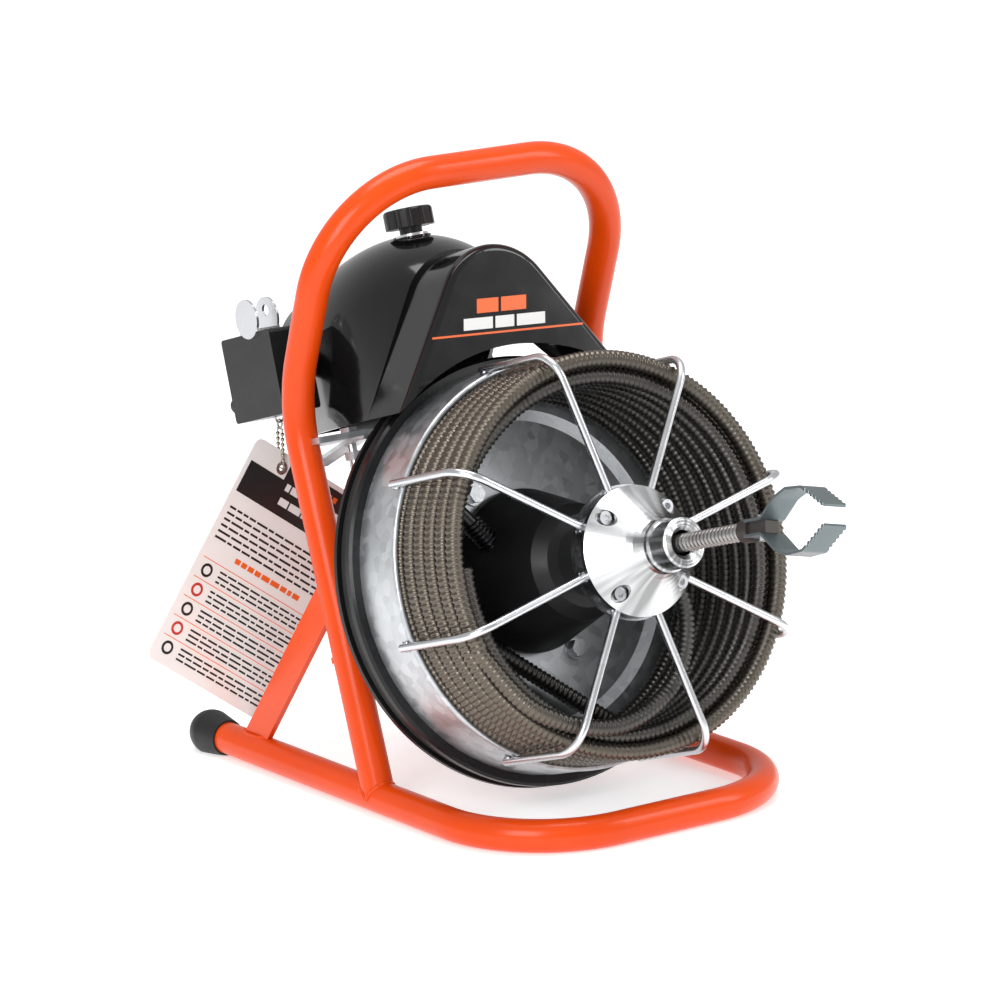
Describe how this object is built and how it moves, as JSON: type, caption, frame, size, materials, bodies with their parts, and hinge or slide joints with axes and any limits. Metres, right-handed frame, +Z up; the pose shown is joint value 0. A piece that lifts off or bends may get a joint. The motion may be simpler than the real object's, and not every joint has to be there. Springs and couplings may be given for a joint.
{
  "type": "drain snake machine",
  "caption": "Portable powered drum drain cleaner: tubular frame, guarded belt drive, caged cable drum, flared nose and two-jaw cutter.",
  "frame": {"origin": "centre of the object's box on the floor it stands on", "axes": "+Z up, -Y towards the nose and cutter, +X to the right seen from the nose's back"},
  "size_m": [0.3936, 0.6794, 0.4947],
  "materials": {
    "bearing_steel": "ground",
    "belt_rubber": "ribbed",
    "black_paint": "semi gloss",
    "black_plastic": "moulded",
    "black_rubber": "moulded",
    "brass_fitting": "turned",
    "cable_black": "blackened spring wire",
    "cable_steel": "drawn spring wire, oiled",
    "chain_nickel": "nickel",
    "cutter_steel": "hardened blued",
    "dark_steel": "oiled",
    "eyelet_brass": "pressed",
    "galvanised_steel": "spangled galvanised",
    "guard_plastic": "glossy moulded",
    "motor_core": "laminated",
    "orange_paint": "powder coat",
    "spring_black": "blackened spring wire",
    "tag_laminate": "laminated",
    "turned_aluminium": "turned",
    "zinc_steel": "bright zinc plate"
  },
  "bodies": {
    "frame": {"air_hose_barb": "brass_fitting", "base_tube": "orange_paint", "bearing_crossmember": "orange_paint", "belt_guard": "guard_plastic", "brace_left": "orange_paint", "brace_right": "orange_paint", "cord_gland": "black_plastic", "drive_belt": "belt_rubber", "ear_bracket": "zinc_steel", "foot_cap_left": "black_rubber", "foot_cap_right": "black_rubber", "knob_washer": "zinc_steel", "motor_bearings": "bearing_steel", "motor_cover": "guard_plastic", "motor_cradle": "black_paint", "motor_front_bell": "black_paint", "motor_mount_plate": "galvanised_steel", "motor_rear_bell": "black_paint", "motor_shell": "black_paint", "motor_stator": "motor_core", "mount_bolts": "zinc_steel", "pivot_strips": "galvanised_steel", "spindle": "zinc_steel", "spindle_fittings": "zinc_steel", "switch_box": "black_paint", "switch_box_lid": "black_paint", "switch_bracket": "black_paint", "switch_bushing": "zinc_steel", "tag_hook": "zinc_steel", "tension_stud": "zinc_steel", "upright_tube": "orange_paint"},
    "drum": {"drum_shell": "galvanised_steel", "belt_ring": "black_paint", "drum_back_plate": "galvanised_steel", "drum_hub": "galvanised_steel", "centre_cone": "black_plastic", "back_plate_bolts": "zinc_steel", "cage_rods": "zinc_steel", "hub_ring": "zinc_steel", "nose_cone": "turned_aluminium", "nose_screws": "zinc_steel", "drain_cable_coil": "cable_steel", "guide_sleeve": "black_paint", "guide_screw": "zinc_steel", "leader_cable": "cable_black", "guide_spring": "spring_black", "drum_bearings": "bearing_steel"},
    "cable_feed": {"cable_end": "cable_steel", "cable_coupling": "dark_steel", "cutter_jaws": "cutter_steel", "cutter_screw": "zinc_steel"},
    "rotor": {"motor_rotor": "motor_core", "motor_fan": "black_plastic", "drive_pulley": "turned_aluminium"},
    "knob": {"tension_knob": "black_plastic"},
    "switch": {"switch_lever": "zinc_steel"},
    "tag": {"tag_card": "tag_laminate", "tag_eyelet": "eyelet_brass", "tag_chain": "chain_nickel"}
  },
  "joints": [
    {"name": "drum_spin", "type": "hinge", "parent": "frame", "child": "drum", "pos_m": [0.02984, 0.04993, 0.1682], "axis": [0, -0.9588, 0.284], "continuous": true},
    {"name": "rotor_spin", "type": "hinge", "parent": "frame", "child": "rotor", "pos_m": [0.02984, 0.10673, 0.35996], "axis": [0, -0.9588, 0.284], "continuous": true},
    {"name": "cable_slide", "type": "slide", "parent": "drum", "child": "cable_feed", "axis": [0, -0.9588, 0.284], "range_m": [0, 0.06]},
    {"name": "knob_turn", "type": "hinge", "parent": "frame", "child": "knob", "pos_m": [0.02984, 0.18567, 0.41167], "axis": [0, 0.284, 0.9588], "range_deg": [-180, 180]},
    {"name": "switch_toggle", "type": "hinge", "parent": "frame", "child": "switch", "pos_m": [-0.07366, 0.27968, 0.31708], "axis": [1, 0, 0], "range_deg": [-12, 12]},
    {"name": "tag_swing", "type": "hinge", "parent": "frame", "child": "tag", "pos_m": [-0.06816, 0.2347, 0.27117], "axis": [0, 1, 0], "range_deg": [-12, 12]}
  ],
  "couplings": [
    {"joint": "rotor_spin", "follows": "drum_spin", "ratio": 8.5421}
  ]
}
